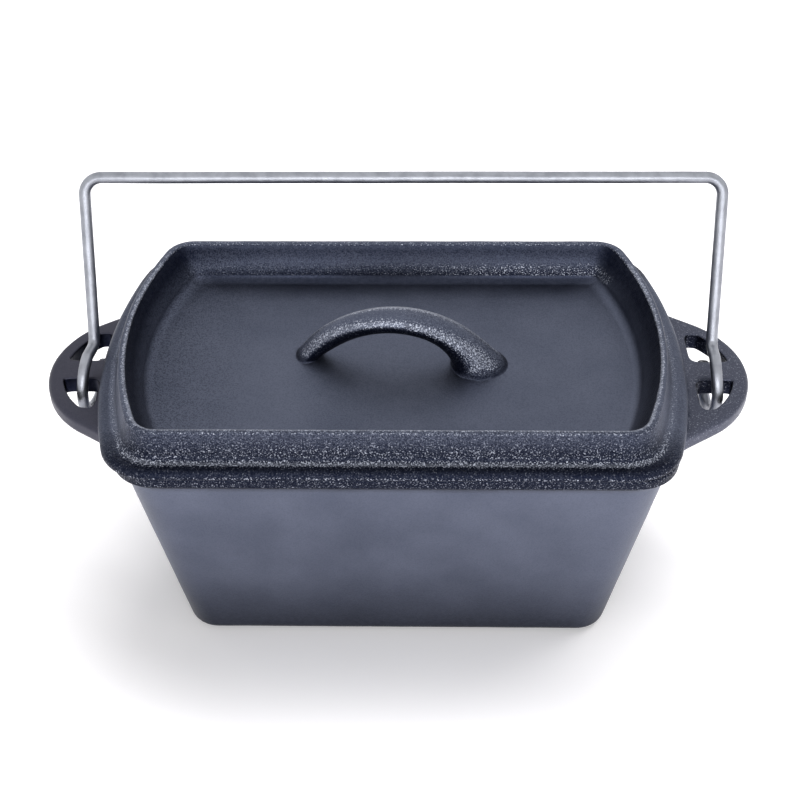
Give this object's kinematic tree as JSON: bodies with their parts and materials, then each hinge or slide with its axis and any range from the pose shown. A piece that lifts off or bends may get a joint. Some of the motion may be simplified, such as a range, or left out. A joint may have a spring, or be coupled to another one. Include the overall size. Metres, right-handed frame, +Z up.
{
  "type": "bread pot",
  "caption": "Loaf-shaped cast-iron baking pot with pierced end ears, a tray-topped lid with a cast arch handle, and a swinging wire bail.",
  "frame": {"origin": "on the table, under the middle of the pot's base", "axes": "+X along the pot from ear to ear, +Y to the rear, towards which the bail leans at rest, +Z up"},
  "size_m": [0.3684, 0.1868, 0.227],
  "materials": {
    "cast_iron_pot": "sand-cast and seasoned, satin",
    "cast_iron_lid": "sand-cast and seasoned, satin, grainy on the rim and handle",
    "galvanised_wire": "dull galvanised"
  },
  "bodies": {
    "pot": {"pot_body": "cast_iron_pot"},
    "lid": {"lid": "cast_iron_lid"},
    "bail": {"bail_handle": "galvanised_wire"}
  },
  "joints": [
    {"name": "bail_swing", "type": "hinge", "parent": "pot", "child": "bail", "pos_m": [0, 0, 0.1242], "axis": [1, 0, 0], "range_deg": [-52, 92]},
    {"name": "lid_lift", "type": "slide", "parent": "pot", "child": "lid", "axis": [0, 0, 1], "range_m": [0, 0.05]}
  ]
}
